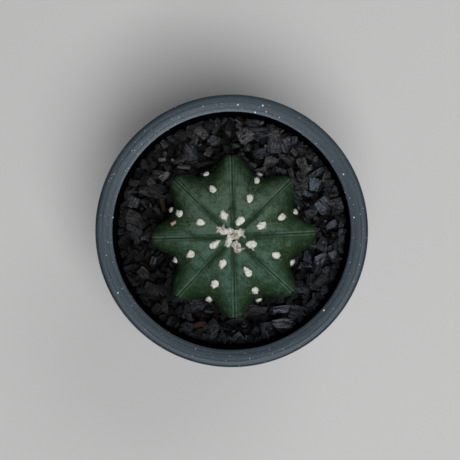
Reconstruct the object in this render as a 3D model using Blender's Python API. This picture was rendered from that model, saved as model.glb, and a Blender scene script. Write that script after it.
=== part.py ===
"""A potted star cactus: a stoneware pot, its potting mix, a dressing of dark grit,
and an eight-armed stem with wool at its crown.

Run with: blender --background --python part.py
Metres, +Z up. The origin is the centre of the circle that the pot's foot stands on.
"""

import itertools
import math
import random

import bmesh
import bpy
from mathutils import Matrix, Vector

MM = 0.001
FIT_GAP = 0.4 * MM  # between pieces that rest on or in each other

# Pot
POT_HEIGHT = 88 * MM
RIM_OUTER_RADIUS = 55 * MM
RIM_INNER_RADIUS = 47.8 * MM
RIM_ROUND = 1.6 * MM
RIM_LIP_ROUND = 0.5 * MM
RIM_CREST_RADIUS = 53.0 * MM
RIM_INWARD_FALL = 0.4 * MM
UNDERSIDE_ROUND = 0.8 * MM
COLLAR_HEIGHT = 16 * MM
COLLAR_STAND_OUT = 3 * MM
COLLAR_TAPER = 1 * MM
WALL_THICKNESS = 3.4 * MM
FOOT_RADIUS = 40.5 * MM
FOOT_ROUND = 1.2 * MM
FOOT_RING_WIDTH = 6 * MM
FOOT_RECESS = 3 * MM
FLOOR_TOP = 9 * MM
FLOOR_FILLET = 4 * MM
DRAIN_RADIUS = 5 * MM
POT_SIDES = 48

# Stem: eight arms, a crease along the top of each, and a row of areoles in each dip between two arms.
# For each arm its bearing and the radius to its tip, then the same for the dip after it, all at the waist
ARMS = (
    (2.7, 33.6 * MM, 21.5, 27.0 * MM),
    (44.3, 32.8 * MM, 66.8, 26.4 * MM),
    (91.1, 33.0 * MM, 113.2, 26.9 * MM),
    (136.1, 33.4 * MM, 156.8, 26.4 * MM),
    (181.8, 33.3 * MM, 202.6, 25.0 * MM),
    (227.4, 33.6 * MM, 249.0, 27.4 * MM),
    (271.2, 33.2 * MM, 292.2, 26.9 * MM),
    (316.9, 33.2 * MM, 336.2, 25.8 * MM),
)
STEM_AXIS = Vector((0.55 * MM, -2.25 * MM, 0))
BODY_RADIUS = 26.4 * MM
TIP_ENDS = 0.9  # of the way from a dip to a crease, where the arm's blunt tip begins
DIP_ENDS = 0.11
WAIST_BELOW_RIM = 3 * MM
CROWN_ABOVE_WAIST = 18 * MM
BASE_BELOW_WAIST = 21 * MM
ARM_DROOP = 2 * MM
CROWN_DIMPLE_DEPTH = 1.4 * MM
CROWN_DIMPLE_RADIUS = 5.5 * MM
CREASE_DEPTH = 1.35 * MM
CREASE_DEPTH_AT_TIP = 0.4 * MM
CREASE_HALF_WIDTH = 2.0 * MM
CREASE_HALF_WIDTH_AT_TIP = 0.8 * MM
CREASE_STARTS = math.radians(12)
ROOT_NECK_RADIUS = 5 * MM
ROOT_LENGTH = 26 * MM
COLUMN_FRACTIONS = (0, 0.08, 0.22, 0.46, 0.74, 1)  # of half an arm, from its crease to the dip
ROWS_TO_WAIST = 10
ROWS_BELOW_WAIST = 5

# Areoles: woolly tufts along each dip. For each dip the first one's distance from the crown, and the step
AREOLE_ROWS = (
    (11.6 * MM, 9.6 * MM),
    (6.4 * MM, 9.8 * MM),
    (9.1 * MM, 11.6 * MM),
    (13.6 * MM, 11.0 * MM),
    (7.4 * MM, 11.0 * MM),
    (11.0 * MM, 9.6 * MM),
    (14.8 * MM, 9.6 * MM),
    (7.6 * MM, 11.4 * MM),
)
AREOLE_HALF_SIZE = Vector((2.2, 1.6, 1.5)) * MM
AREOLE_SINK = 0.2 * MM
AREOLE_CLEAR_OF_GRIT = 3 * MM
SPINES_PER_AREOLE = 2
SPINE_LENGTH = 1.5 * MM
SPINE_RADIUS = 0.25 * MM
SPINE_LEAN = math.radians(30)

# Wool in the crown: distance from the stem's axis, bearing, half length
CROWN_TUFTS = (
    (0.0 * MM, 0, 3.0 * MM),
    (2.4 * MM, 11, 2.4 * MM),
    (2.1 * MM, 116, 2.4 * MM),
    (5.0 * MM, 155, 2.4 * MM),
    (2.7 * MM, 225, 2.4 * MM),
    (4.4 * MM, 284, 2.3 * MM),
)
TUFT_WIDTH_SHARE = 0.85
TUFT_HEIGHT_SHARE = 0.75
TUFT_RISE = 0.7 * MM
CLEARANCE_SIDES = 32

# Grit and potting mix
GRIT_BELOW_RIM = 13 * MM
GRIT_DEPTH = 6.5 * MM
GRIT_BED_BELOW_STONES = 2.6 * MM
STONE_SPACING = 5.8 * MM
STONE_HALF_SIZE = (Vector((2.5, 2.1, 1.5)) * MM, Vector((3.5, 2.9, 2.1)) * MM)
STONE_PULL = (0.72, 1.06)
STONE_TILT = math.radians(30)
STONE_SINK = (1.2 * MM, 2.2 * MM)
STONE_JITTER = 0.18
STONE_STEP = 0.4 * MM
GRIT_SEED = 8
SOIL_SIDES = 32

RIM_Z = POT_HEIGHT
WAIST_Z = RIM_Z - WAIST_BELOW_RIM
GRIT_Z = RIM_Z - GRIT_BELOW_RIM
SOIL_TOP_Z = GRIT_Z - GRIT_DEPTH - FIT_GAP
ROOT_NECK_Z = WAIST_Z - BASE_BELOW_WAIST
ROOT_TIP_Z = ROOT_NECK_Z - ROOT_LENGTH


def clear_scene():
    for obj in list(bpy.data.objects):
        bpy.data.objects.remove(obj)


def material(name, colour, roughness):
    made = bpy.data.materials.new(name)
    made.use_nodes = True
    shader = made.node_tree.nodes["Principled BSDF"]
    shader.inputs["Base Color"].default_value = (*colour, 1)
    shader.inputs["Roughness"].default_value = roughness
    shader.inputs["Metallic"].default_value = 0
    return made


def object_from(bm, name, finish=None, smooth_below=None):
    """A new object with this bmesh as its mesh. Edges flatter than smooth_below are shaded smooth."""
    bmesh.ops.recalc_face_normals(bm, faces=bm.faces)
    mesh = bpy.data.meshes.new(name)
    bm.to_mesh(mesh)
    bm.free()
    if finish:
        mesh.materials.append(finish)
    if smooth_below:
        mesh.shade_smooth()
        mesh.set_sharp_from_angle(angle=smooth_below)
    obj = bpy.data.objects.new(name, mesh)
    bpy.context.scene.collection.objects.link(obj)
    return obj


def skin(rings, closed=False):
    """A bmesh with a skin over rings of points. A ring of one point is a pole. closed joins the last ring to the first."""
    bm = bmesh.new()
    made = [[bm.verts.new(point) for point in ring] for ring in rings]
    pairs = list(zip(made, made[1:]))
    if closed:
        pairs.append((made[-1], made[0]))
    for upper, lower in pairs:
        count = max(len(upper), len(lower))
        for i in range(count):
            j = (i + 1) % count
            if len(upper) == 1:
                bm.faces.new((upper[0], lower[i], lower[j]))
            elif len(lower) == 1:
                bm.faces.new((upper[i], lower[0], upper[j]))
            else:
                bm.faces.new((upper[i], lower[i], lower[j], upper[j]))
    return bm


def turned_rings(profile, sides, axis=Vector((0, 0, 0))):
    """The rings that a profile of (radius, height) sweeps round an upright axis."""
    rings = []
    for radius, height in profile:
        if radius == 0:
            rings.append([axis + Vector((0, 0, height))])
            continue
        rings.append(
            [
                axis + Vector((radius * math.cos(turn), radius * math.sin(turn), height))
                for turn in (2 * math.pi * i / sides for i in range(sides))
            ]
        )
    return rings


def arc(centre_radius, centre_height, radius, start, end, steps):
    """Points of a profile along an arc. Angles in degrees, from the outward direction."""
    points = []
    for i in range(steps + 1):
        turn = math.radians(start + (end - start) * i / steps)
        points.append((centre_radius + radius * math.cos(turn), centre_height + radius * math.sin(turn)))
    return points


def keep_main_body(mesh):
    """Deletes all but the largest connected body: loose scraps, and the walls of any hollow sealed inside."""
    bm = bmesh.new()
    bm.from_mesh(mesh)
    unseen = set(bm.faces)
    bodies = []
    while unseen:
        front = [unseen.pop()]
        body = set(front)
        while front:
            near = {face for edge in front.pop().edges for face in edge.link_faces} & unseen
            unseen -= near
            body |= near
            front.extend(near)
        bodies.append(body)
    bodies.sort(key=len)
    for body in bodies[:-1]:
        bmesh.ops.delete(bm, geom=list(body), context="FACES")
    bm.to_mesh(mesh)
    bm.free()


def join_into(obj, extras, name, solver="EXACT"):
    """Joins loose solids into obj with one Boolean union, and removes them."""
    group = bpy.data.collections.new(name)
    for extra in extras:
        for owner in list(extra.users_collection):
            owner.objects.unlink(extra)
        group.objects.link(extra)
    union = obj.modifiers.new("Union", "BOOLEAN")
    union.operation = "UNION"
    union.operand_type = "COLLECTION"
    union.collection = group
    union.solver = solver
    bpy.context.view_layer.update()
    graph = bpy.context.evaluated_depsgraph_get()
    joined = bpy.data.meshes.new_from_object(obj.evaluated_get(graph))
    obj.modifiers.remove(union)
    old = obj.data
    obj.data = joined
    bpy.data.meshes.remove(old)
    joined.name = obj.name
    keep_main_body(joined)
    for extra in extras:
        bpy.data.objects.remove(extra)
    bpy.data.collections.remove(group)


def wall_radius_inside(height):
    """The pot's inner radius at a height: nearly upright in the collar, then parallel to the tapered wall."""
    shoulder_z = RIM_Z - COLLAR_HEIGHT
    shoulder_radius = RIM_INNER_RADIUS - COLLAR_TAPER
    if height >= shoulder_z:
        share = (height - shoulder_z) / COLLAR_HEIGHT
        return shoulder_radius + share * (RIM_INNER_RADIUS - shoulder_radius)
    foot_inside = FOOT_RADIUS - WALL_THICKNESS
    return foot_inside + height / shoulder_z * (shoulder_radius - foot_inside)


def pot(finish):
    collar_z = RIM_Z - COLLAR_HEIGHT
    wall_top_radius = RIM_OUTER_RADIUS - COLLAR_TAPER - COLLAR_STAND_OUT
    collar_bottom_radius = RIM_OUTER_RADIUS - COLLAR_TAPER
    foot_inner = FOOT_RADIUS - FOOT_RING_WIDTH
    lip_radius = RIM_INNER_RADIUS + RIM_LIP_ROUND
    fillet_z = FLOOR_TOP + FLOOR_FILLET
    fillet_radius = wall_radius_inside(fillet_z)
    profile = [
        (DRAIN_RADIUS, FLOOR_TOP),
        (DRAIN_RADIUS, FOOT_RECESS),
        (foot_inner - FOOT_RECESS / 2, FOOT_RECESS),
        (foot_inner, 0),
        (FOOT_RADIUS - FOOT_ROUND, 0),
        *arc(FOOT_RADIUS - FOOT_ROUND, FOOT_ROUND, FOOT_ROUND, -60, 0, 2),
        (wall_top_radius, collar_z),
        (collar_bottom_radius - UNDERSIDE_ROUND, collar_z + COLLAR_STAND_OUT / 3),
        (collar_bottom_radius, collar_z + COLLAR_STAND_OUT / 2 + UNDERSIDE_ROUND),
        *arc(RIM_OUTER_RADIUS - RIM_ROUND, RIM_Z - RIM_ROUND, RIM_ROUND, 0, 75, 3),
        (RIM_CREST_RADIUS, RIM_Z),
        ((RIM_CREST_RADIUS + lip_radius) / 2, RIM_Z - RIM_INWARD_FALL * 0.4),
        (lip_radius, RIM_Z - RIM_INWARD_FALL),
        *arc(lip_radius, RIM_Z - RIM_INWARD_FALL - RIM_LIP_ROUND, RIM_LIP_ROUND, 120, 180, 1),
        (wall_radius_inside(collar_z), collar_z),
        (fillet_radius, fillet_z),
        *arc(fillet_radius - FLOOR_FILLET, fillet_z, FLOOR_FILLET, -30, -90, 2),
    ]
    return object_from(skin(turned_rings(profile, POT_SIDES), closed=True), "pot", finish, math.radians(30))


def smooth_step(value, low, high):
    share = min(1, max(0, (value - low) / (high - low)))
    return share * share * (3 - 2 * share)


def arm_at(angle):
    """(angle off the nearest crease, 1 along that crease and 0 in the dip beside it, radius at the waist)."""
    for i, (arm, tip, dip, dip_radius) in enumerate(ARMS):
        next_arm, next_tip = ARMS[(i + 1) % len(ARMS)][:2]
        past = (math.degrees(angle) - arm) % 360
        to_dip = (dip - arm) % 360
        between = (next_arm - arm) % 360
        if past <= to_dip:
            off, out = past, 1 - past / to_dip
        elif past <= between:
            off, out = between - past, 1 - (between - past) / (between - to_dip)
            tip = next_tip
        else:
            continue
        share = smooth_step(out, DIP_ENDS, TIP_ENDS)
        return math.radians(off), share, dip_radius + (tip - dip_radius) * share


def arm_reach(latitude):
    """How much the arms stand out: not at the crown, fully at the waist, and not where the stem is buried."""
    return smooth_step(latitude, 0, math.radians(82)) * (
        1 - smooth_step(latitude, math.radians(112), math.radians(142))
    )


def crease_at(latitude):
    """(depth, half width) of the crease, deepest near the crown."""
    outward = smooth_step(latitude, CREASE_STARTS, math.radians(85))
    depth = CREASE_DEPTH + outward * (CREASE_DEPTH_AT_TIP - CREASE_DEPTH)
    half_width = CREASE_HALF_WIDTH + outward * (CREASE_HALF_WIDTH_AT_TIP - CREASE_HALF_WIDTH)
    fades = smooth_step(latitude, 0, CREASE_STARTS) * (
        1 - smooth_step(latitude, math.radians(110), math.radians(135))
    )
    return depth * fades, half_width


def stem_section(latitude, angle, grow=0):
    """(radius, height) of the stem's skin. Latitude runs from 0 at the crown to pi at the base."""
    off_crease, share, waist_radius = arm_at(angle)
    reach = arm_reach(latitude)
    outline = BODY_RADIUS + (waist_radius - BODY_RADIUS) * reach
    rise = CROWN_ABOVE_WAIST if latitude < math.pi / 2 else BASE_BELOW_WAIST
    radius = outline * math.sin(latitude)
    height = rise * math.cos(latitude) - ARM_DROOP * share * reach
    height -= CROWN_DIMPLE_DEPTH * math.exp(-((radius / CROWN_DIMPLE_RADIUS) ** 2)) * (latitude < math.pi / 2)
    out = Vector((math.sin(latitude) / outline, math.cos(latitude) / rise)).normalized()
    depth, half_width = crease_at(latitude)
    across = radius * math.sin(off_crease) / half_width
    inward = depth * max(0, 1 - across) ** 2 - grow
    return radius - inward * out.x, WAIST_Z + height - inward * out.y


def stem_angles():
    """The angles of the stem's columns, closer together beside each crease."""
    angles = []
    for i, (arm, _, dip, _) in enumerate(ARMS):
        before = (arm - ARMS[i - 1][2]) % 360
        after = (dip - arm) % 360
        angles += [arm - before * share for share in reversed(COLUMN_FRACTIONS[1:-1])]
        angles += [arm + after * share for share in COLUMN_FRACTIONS]
    return [math.radians(angle) for angle in angles]


def stem_latitudes():
    """From just off the crown's pole to the root's neck."""
    waist = math.pi / 2
    neck = math.pi - math.asin(ROOT_NECK_RADIUS / BODY_RADIUS)
    upper = [waist * (i + 1) / ROWS_TO_WAIST for i in range(ROWS_TO_WAIST)]
    lower = [waist + (neck - waist) * (i + 1) / ROWS_BELOW_WAIST for i in range(ROWS_BELOW_WAIST)]
    return upper + lower


def around_stem(angle, radius, height):
    return STEM_AXIS + Vector((radius * math.cos(angle), radius * math.sin(angle), height))


def stem_rings(grow=0):
    angles = stem_angles()
    crown_z = stem_section(0, 0, grow)[1]
    rings = [[around_stem(0, 0, crown_z)]]
    for latitude in stem_latitudes():
        rings.append([around_stem(angle, *stem_section(latitude, angle, grow)) for angle in angles])
    for share in (0.3, 0.7):
        radius = ROOT_NECK_RADIUS * (1 - share * 0.9)
        height = ROOT_NECK_Z - share * ROOT_LENGTH
        rings.append([around_stem(angle, radius, height) for angle in angles])
    rings.append([around_stem(0, 0, ROOT_TIP_Z)])
    return rings


def stem_radius_at(angle, height):
    """The stem's radius at a height below its waist, read a little above it so that it is never too small."""
    found = arm_at(angle)[2]
    for degree in range(90, 172, 3):
        radius, level = stem_section(math.radians(degree), angle)
        if level < height:
            break
        found = radius
    return found


def dip_places(angle):
    """(distance along the skin from the crown, its radius and height) in fine steps down a dip."""
    places = [(0, Vector(stem_section(0, angle)))]
    for degree in range(1, 151):
        here = Vector(stem_section(math.radians(degree), angle))
        travelled, previous = places[-1]
        places.append((travelled + (here - previous).length, here))
    return places


def areole_frames():
    """A matrix for each areole: its X axis runs down the dip, and its Z axis stands out from the skin."""
    frames = []
    for (_, _, dip, _), (distance, step) in zip(ARMS, AREOLE_ROWS):
        angle = math.radians(dip)
        places = dip_places(angle)
        while True:
            index = next((i for i, place in enumerate(places) if place[0] >= distance), None)
            if index is None or places[index][1].y < GRIT_Z + AREOLE_CLEAR_OF_GRIT:
                break
            here = places[index][1]
            down = (places[index + 1][1] - places[index - 1][1]).normalized()
            outward = Vector((math.cos(angle), math.sin(angle), 0))
            x_axis = outward * down.x + Vector((0, 0, down.y))
            y_axis = Vector((-math.sin(angle), math.cos(angle), 0))
            z_axis = x_axis.cross(y_axis)
            turn = Matrix((x_axis, y_axis, z_axis)).transposed().to_4x4()
            frames.append(Matrix.Translation(around_stem(angle, here.x, here.y)) @ turn)
            distance += step
    return frames


def tuft(name, place, half_size, subdivisions=1):
    """A low faceted lump of wool, twice half_size each way."""
    bm = bmesh.new()
    bmesh.ops.create_icosphere(bm, subdivisions=subdivisions, radius=1)
    bmesh.ops.transform(bm, matrix=place @ Matrix.Diagonal((*half_size, 1)), verts=bm.verts)
    return object_from(bm, name)


def spine(name, place, side):
    """A short three-sided spine, rooted in the middle of its tuft."""
    bm = bmesh.new()
    bmesh.ops.create_cone(
        bm, cap_ends=True, segments=3, radius1=SPINE_RADIUS, radius2=SPINE_RADIUS * 0.3, depth=SPINE_LENGTH
    )
    lean = Matrix.Rotation(side * SPINE_LEAN, 4, "X")
    root = Matrix.Translation((0, 0, SPINE_LENGTH / 2 + AREOLE_HALF_SIZE.z * 0.3))
    bmesh.ops.transform(bm, matrix=place @ lean @ root, verts=bm.verts)
    return object_from(bm, name)


def stem(finish):
    body = object_from(skin(stem_rings()), "cactus_stem", finish, math.radians(35))
    extras = []
    for place in areole_frames():
        sunk = place @ Matrix.Translation((0, 0, -AREOLE_SINK))
        extras.append(tuft("areole", sunk, AREOLE_HALF_SIZE))
        for i in range(SPINES_PER_AREOLE):
            extras.append(spine("spine", place, 2 * i / (SPINES_PER_AREOLE - 1) - 1))
    join_into(body, extras, "areoles")
    return body


def crown_clearance():
    """The profile of a plain dome that stands just clear of the stem's crown."""
    dip = math.radians(ARMS[0][2])
    latitudes = [math.radians(degree) for degree in range(0, 46, 3)]
    profile = [stem_section(latitude, dip, grow=FIT_GAP) for latitude in latitudes]
    profile[0] = (0, profile[0][1])
    return [*profile, (0, profile[-1][1])]


def crown_wool(finish):
    """The youngest areoles' wool, run together, with its underside cut clear of the stem's crown."""
    tufts = []
    for distance, bearing, half_length in CROWN_TUFTS:
        angle = math.radians(bearing)
        half_size = Vector((half_length, half_length * TUFT_WIDTH_SHARE, half_length * TUFT_HEIGHT_SHARE))
        latitude = math.asin(distance / BODY_RADIUS)
        level = stem_section(latitude, math.radians(ARMS[0][2]))[1] + TUFT_RISE
        place = Matrix.Translation(around_stem(angle, distance, level)) @ Matrix.Rotation(angle, 4, "Z")
        tufts.append(tuft("crown_wool", place, half_size, subdivisions=2))
    wool = tufts[0]
    wool.data.materials.append(finish)
    join_into(wool, tufts[1:], "crown_tufts")
    cutter = object_from(skin(turned_rings(crown_clearance(), CLEARANCE_SIDES, STEM_AXIS)), "stem_clearance")
    cutter.hide_render = True
    cutter.display_type = "WIRE"
    cut = wool.modifiers.new("Clear of the stem", "BOOLEAN")
    cut.operation = "DIFFERENCE"
    cut.object = cutter
    cut.solver = "EXACT"
    return wool


def potting_mix(finish):
    """Fills the pot from its floor to the grit, with a plain hole for the stem's base and root."""
    floor_z = FLOOR_TOP + FIT_GAP
    neck_z = ROOT_NECK_Z - FIT_GAP
    hole = [(0, ROOT_TIP_Z - 2 * FIT_GAP), (ROOT_NECK_RADIUS * 0.45, ROOT_TIP_Z - 2 * FIT_GAP)]
    hole.append((ROOT_NECK_RADIUS + 2 * FIT_GAP, neck_z))
    for degree in range(163, 142, -7):
        radius, level = stem_section(math.radians(degree), 0, grow=2 * FIT_GAP)
        if level < SOIL_TOP_Z:
            hole.append((radius, level))
    hole_radius = max(stem_radius_at(angle, SOIL_TOP_Z) for angle in stem_angles()) + 2 * FIT_GAP
    hole.append((hole_radius, SOIL_TOP_Z))
    fillet_z = FLOOR_TOP + FLOOR_FILLET + FIT_GAP
    outer = [(wall_radius_inside(level) - 1.5 * FIT_GAP, level) for level in (SOIL_TOP_Z, fillet_z)]
    outer += [(outer[-1][0] - FLOOR_FILLET, floor_z), (0, floor_z)]
    rings = turned_rings(hole, SOIL_SIDES, STEM_AXIS) + turned_rings(outer, SOIL_SIDES)
    return object_from(skin(rings), "potting_mix", finish, math.radians(30))


def grit_bed():
    """The close-packed grit under the loose stones: a ring between the pot's wall and the star-shaped stem."""
    bed_z = GRIT_Z - GRIT_BED_BELOW_STONES
    floor_z = GRIT_Z - GRIT_DEPTH
    rings = []
    for level, share in ((floor_z, 0), (bed_z, 0), (bed_z, 1), (floor_z, 1)):
        ring = []
        for angle in stem_angles():
            inner = around_stem(angle, stem_radius_at(angle, level) + 2 * FIT_GAP, level)
            radius = wall_radius_inside(level) - FIT_GAP
            outer = Vector((radius * math.cos(angle), radius * math.sin(angle), level))
            ring.append(inner.lerp(outer, share))
        rings.append(ring)
    return skin(rings, closed=True)


def stone_places(rng):
    """A jittered triangular grid over the grit."""
    row_step = STONE_SPACING * math.sqrt(3) / 2
    rows = int(RIM_INNER_RADIUS / row_step) + 1
    places = []
    for row in range(-rows, rows + 1):
        for column in range(-rows, rows + 1):
            x = (column + row % 2 / 2 + rng.uniform(-1, 1) * STONE_JITTER) * STONE_SPACING
            y = row * row_step + rng.uniform(-1, 1) * STONE_JITTER * STONE_SPACING
            place = Vector((x, y, GRIT_Z - rng.uniform(*STONE_SINK)))
            off_stem = place - STEM_AXIS
            angle = math.atan2(off_stem.y, off_stem.x)
            if off_stem.xy.length < stem_radius_at(angle, GRIT_Z) + STONE_SPACING * 0.3:
                continue
            if place.xy.length > wall_radius_inside(GRIT_Z) - STONE_SPACING * 0.3:
                continue
            places.append(place)
    return places


def stone_corners(rng, place):
    """The corners of one crushed stone: a tilted block with its corners pulled in or out."""
    low, high = STONE_HALF_SIZE
    half_size = [rng.uniform(a, b) for a, b in zip(low, high)]
    turn = Matrix.Rotation(rng.uniform(0, 2 * math.pi), 3, "Z") @ Matrix.Rotation(
        rng.uniform(-1, 1) * STONE_TILT, 3, "X"
    )
    corners = []
    for signs in itertools.product((-1, 1), repeat=3):
        corner = Vector(sign * size * rng.uniform(*STONE_PULL) for sign, size in zip(signs, half_size))
        corners.append(place + turn @ corner)
    return corners


def settled(corners):
    """The stone moved sideways until it is clear of the pot's wall and the stem, or None if it can't be."""
    for _ in range(12):
        push = Vector((0, 0, 0))
        for corner in corners:
            off_stem = corner - STEM_AXIS
            angle = math.atan2(off_stem.y, off_stem.x)
            if off_stem.xy.length < stem_radius_at(angle, corner.z) + 2 * FIT_GAP:
                push += Vector((off_stem.x, off_stem.y, 0)).normalized()
            if corner.xy.length > wall_radius_inside(corner.z) - 1.5 * FIT_GAP:
                push -= Vector((corner.x, corner.y, 0)).normalized()
        if push.length == 0:
            return corners
        step = push.normalized() * STONE_STEP
        corners = [corner + step for corner in corners]
    return None


def grit(finish):
    rng = random.Random(GRIT_SEED)
    stones = []
    for place in stone_places(rng):
        corners = settled(stone_corners(rng, place))
        if corners is None:
            continue
        bm = bmesh.new()
        for corner in corners:
            bm.verts.new(corner)
        hull = bmesh.ops.convex_hull(bm, input=bm.verts)
        bmesh.ops.delete(bm, geom=hull["geom_interior"], context="VERTS")
        stones.append(object_from(bm, "stone"))
    bed = object_from(grit_bed(), "grit", finish)
    join_into(bed, stones, "stones", solver="MANIFOLD")
    return bed


def main():
    clear_scene()
    slate_glaze = material("slate_glaze", (0.085, 0.105, 0.130), 0.45)
    damp_mix = material("damp_mix", (0.030, 0.022, 0.016), 0.95)
    dark_stone = material("dark_stone", (0.024, 0.024, 0.026), 0.7)
    green_skin = material("green_skin", (0.045, 0.085, 0.058), 0.5)
    white_wool = material("white_wool", (0.80, 0.79, 0.73), 0.95)
    pot(slate_glaze)
    potting_mix(damp_mix)
    grit(dark_stone)
    stem(green_skin)
    crown_wool(white_wool)


main()
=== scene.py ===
"""The finished look of a potted star cactus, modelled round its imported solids.

Metres, +Z up. The camera looks straight down, with +X to its right and +Y to its top.
"""

import math
import random

import bpy
import numpy as np
from mathutils import Matrix, Vector


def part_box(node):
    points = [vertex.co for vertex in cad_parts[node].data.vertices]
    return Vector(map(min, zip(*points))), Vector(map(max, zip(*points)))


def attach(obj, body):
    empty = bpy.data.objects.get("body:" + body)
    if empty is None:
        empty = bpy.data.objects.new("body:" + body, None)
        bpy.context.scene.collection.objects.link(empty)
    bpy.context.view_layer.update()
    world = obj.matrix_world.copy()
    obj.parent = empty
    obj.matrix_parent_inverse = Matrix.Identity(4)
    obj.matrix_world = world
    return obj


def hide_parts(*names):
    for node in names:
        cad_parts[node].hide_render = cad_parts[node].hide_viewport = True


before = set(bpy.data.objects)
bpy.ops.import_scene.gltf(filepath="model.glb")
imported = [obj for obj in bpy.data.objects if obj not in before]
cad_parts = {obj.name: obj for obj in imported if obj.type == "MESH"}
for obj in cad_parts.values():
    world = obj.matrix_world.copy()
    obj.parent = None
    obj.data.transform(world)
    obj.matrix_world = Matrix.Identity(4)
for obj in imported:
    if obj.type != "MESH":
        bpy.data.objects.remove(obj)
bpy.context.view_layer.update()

MM = 0.001
FULL_TURN = 2 * math.pi

# Pot: its height and width come from the imported pot part, and the rest of its section is the solid's
RIM_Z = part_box("pot")[1].z
RIM_OUTER_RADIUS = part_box("pot")[1].x
RIM_INNER_RADIUS = 47.8 * MM
RIM_ROUND = 1.3 * MM
LIP_ROUND = 0.5 * MM
RIM_CREST_RADIUS = 53.2 * MM
RIM_INWARD_FALL = 0.4 * MM
COLLAR_HEIGHT = 16 * MM
COLLAR_STAND_OUT = 3 * MM
COLLAR_TAPER = 1 * MM
WALL_THICKNESS = 3.4 * MM
FOOT_RADIUS = 40.5 * MM
FOOT_ROUND = 1.2 * MM
FOOT_RING_WIDTH = 6 * MM
FOOT_RECESS = 3 * MM
FLOOR_TOP = 9 * MM
FLOOR_FILLET = 4 * MM
DRAIN_RADIUS = 5 * MM
POT_SIDES = 192

# Stem: for each arm its bearing and the radius to its tip, in degrees and millimetres, then the same for the
# dip after it
ARMS = (
    (2.7, 33.6, 21.5, 27.0),
    (44.3, 32.8, 66.8, 26.4),
    (91.1, 33.0, 113.2, 26.9),
    (136.1, 33.4, 156.8, 26.4),
    (181.8, 33.3, 202.6, 25.0),
    (227.4, 33.6, 249.0, 27.4),
    (271.2, 33.2, 292.2, 26.9),
    (316.9, 33.2, 336.2, 25.8),
)
STEM_AXIS = Vector((0.55 * MM, -2.25 * MM, 0))
BODY_RADIUS = 26.4 * MM
TIP_ENDS = 0.9
DIP_ENDS = 0.11
WAIST_Z = RIM_Z - 3 * MM
CROWN_ABOVE_WAIST = 18 * MM
BASE_BELOW_WAIST = 21 * MM
ARM_DROOP = 2 * MM
CROWN_DIMPLE_DEPTH = 1.4 * MM
CROWN_DIMPLE_RADIUS = 5.5 * MM
CREASE_DEPTH = 1.35 * MM
CREASE_DEPTH_AT_TIP = 0.38 * MM
CREASE_HALF_WIDTH = 2.0 * MM
CREASE_HALF_WIDTH_AT_TIP = 0.75 * MM
CREASE_STARTS = math.radians(12)
STEM_COLUMNS = 52 * len(ARMS)
STEM_ROWS = 168
STEM_END = math.radians(158)
SKIN_SWELL = 0.22 * MM
SKIN_SWELL_SCALE = 190
SKIN_SWELL_SEED = 3
SKIN_RIPPLE = 0.03 * MM
SKIN_RIPPLE_SCALE = 320
SKIN_RIPPLE_SEED = 4

# Bloom and painted light on each arm, clockwise and counterclockwise of its crease
# Painted light: flanks are made paler or darker for how the light falls on them, on top of their real bloom
ARM_BLOOM_AND_LIGHT = (
    (0.10, 0.52),
    (1.00, 1.40),
    (1.70, 1.80),
    (1.75, 1.75),
    (1.10, 1.05),
    (0.68, 0.24),
    (0.95, 0.75),
    (0.74, 0.92),
)
FLANK_OFF_CREASE = 7

# Areoles: for each dip the first one's distance from the crown and the step to the next, in millimetres
AREOLE_ROWS = (
    (11.6, 9.6),
    (6.4, 9.8),
    (9.1, 11.6),
    (13.6, 11.0),
    (7.4, 11.0),
    (11.0, 9.6),
    (14.8, 9.6),
    (7.6, 11.4),
)

# What the areoles carry: the half sizes of the youngest and the oldest tufts, the cushions and the spines
YOUNG_TUFT = Vector((2.1, 1.35, 0.9)) * MM
OLD_TUFT = Vector((1.75, 1.15, 0.85)) * MM
TUFT_SEED = 21
TUFT_HAIRS = 120
TUFT_HAIR_LENGTH = 0.9 * MM
HAIR_WIDTHS_IN_MM = (0.05, 0.09)
LOOSE_LEANS = (20, 60)
MATTED_LEANS = (70, 92)
TUFTS_OLD_AT = 26 * MM
WORN_TUFTS_FROM = 29 * MM
AREOLE_CLEAR_OF_GRIT = 3 * MM
CUSHION_RADIUS = 2.6 * MM
CUSHION_HEIGHT = 0.35 * MM
SCAR_RADIUS = 2.3 * MM
SPINE_SEED = 34
SPINE_THICKNESS = 0.16 * MM
SPINE_LENGTHS_IN_MM = (1.7, 2.2)
SPINE_TILTS = (35, 65)
SPINE_ROOT_AT = 0.3 * MM

# Wool in the crown: each lobe's place off the stem's axis, its half length and width, all in millimetres,
# and the way it points
CROWN_LOBES = (
    (0.9, 0.8, 2.8, 1.8, 10),
    (2.6, 1.6, 1.6, 1.0, 75),
    (-0.9, 2.1, 1.6, 1.1, 150),
    (-4.1, 2.4, 2.0, 1.3, 150),
    (-1.8, -2.2, 2.1, 1.2, 250),
    (1.5, -3.9, 2.2, 1.5, 300),
)
CROWN_SEED = 55
LOBE_HEIGHT = 1.05 * MM
LOBE_LIFT = 0.55 * MM
LOBE_HAIRS = 190
LOBE_HAIR_LENGTH = 1.2 * MM

# Where the crown's wool is old and tan: off the stem's axis, and how far it reaches, in millimetres
TAN_PATCHES = (
    (0.4, 0.6, 2.3),
    (1.4, -3.7, 1.8),
    (-4.0, 2.4, 1.0),
)

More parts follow.
